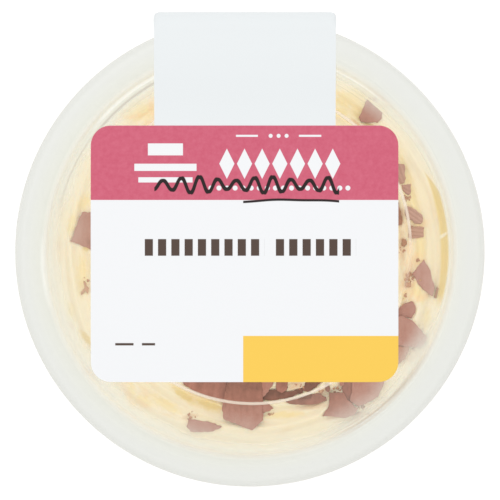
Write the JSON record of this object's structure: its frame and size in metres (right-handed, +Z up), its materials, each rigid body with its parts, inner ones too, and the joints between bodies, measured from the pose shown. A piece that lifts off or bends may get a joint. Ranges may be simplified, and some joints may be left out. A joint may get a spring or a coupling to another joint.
{
  "type": "trifle in a lidded tub",
  "caption": "Trifle in a round milky plastic tub, swirled custard cream strewn with chocolate flakes, press-on lid, paper seal label over the rim.",
  "frame": {"origin": "middle of the tub's foot, on the surface that it stands on", "axes": "+Z up along the tub's axis, +Y towards the side where the label runs down, +X to the right when the label is read"},
  "size_m": [0.118, 0.1193, 0.0606],
  "materials": {
    "tub_plastic": "milky, slightly see-through",
    "cream": "soft, satin, with chocolate flakes pressed in",
    "chocolate": "satin, broken faces paler and dusty",
    "lid_plastic": "milky, slightly see-through, smooth",
    "label_paper": "coated paper, white with a rose band and a yellow field"
  },
  "bodies": {
    "root": {"tub": "tub_plastic", "cream": "cream", "lid": "lid_plastic", "label": "label_paper"}
  },
  "joints": []
}
